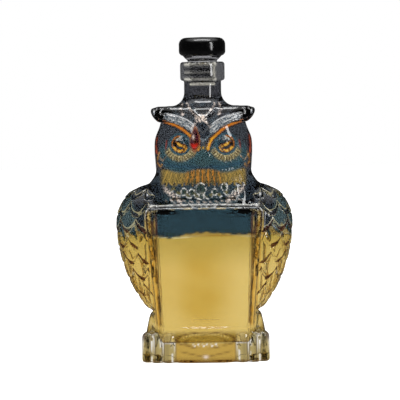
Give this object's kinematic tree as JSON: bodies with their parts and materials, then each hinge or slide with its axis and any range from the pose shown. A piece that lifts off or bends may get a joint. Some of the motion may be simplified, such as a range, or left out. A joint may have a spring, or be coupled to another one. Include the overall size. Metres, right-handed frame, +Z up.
{
  "type": "figural decanter",
  "caption": "Owl-shaped pressed glass liquor decanter with a flat front panel, feathered wings and a push-in stopper with a black knob.",
  "frame": {"origin": "on the floor under the neck's axis, at the middle of the base", "axes": "+Z up along the neck and the stopper's travel, +X to the owl's left wing, -Y the way the owl looks"},
  "size_m": [0.138, 0.0752, 0.2478],
  "materials": {
    "bottle_glass": "gloss",
    "liquor": "gloss",
    "plug": "gloss",
    "seal": "satin",
    "knob": "gloss"
  },
  "bodies": {
    "bottle": {"glass_bottle": "bottle_glass", "liquor": "liquor"},
    "stopper": {"stopper_knob": "knob", "stopper_plug": "plug", "stopper_seal": "seal"}
  },
  "joints": [
    {"name": "stopper_lift", "type": "slide", "parent": "bottle", "child": "stopper", "axis": [0, 0, 1], "range_m": [0, 0.04]}
  ]
}
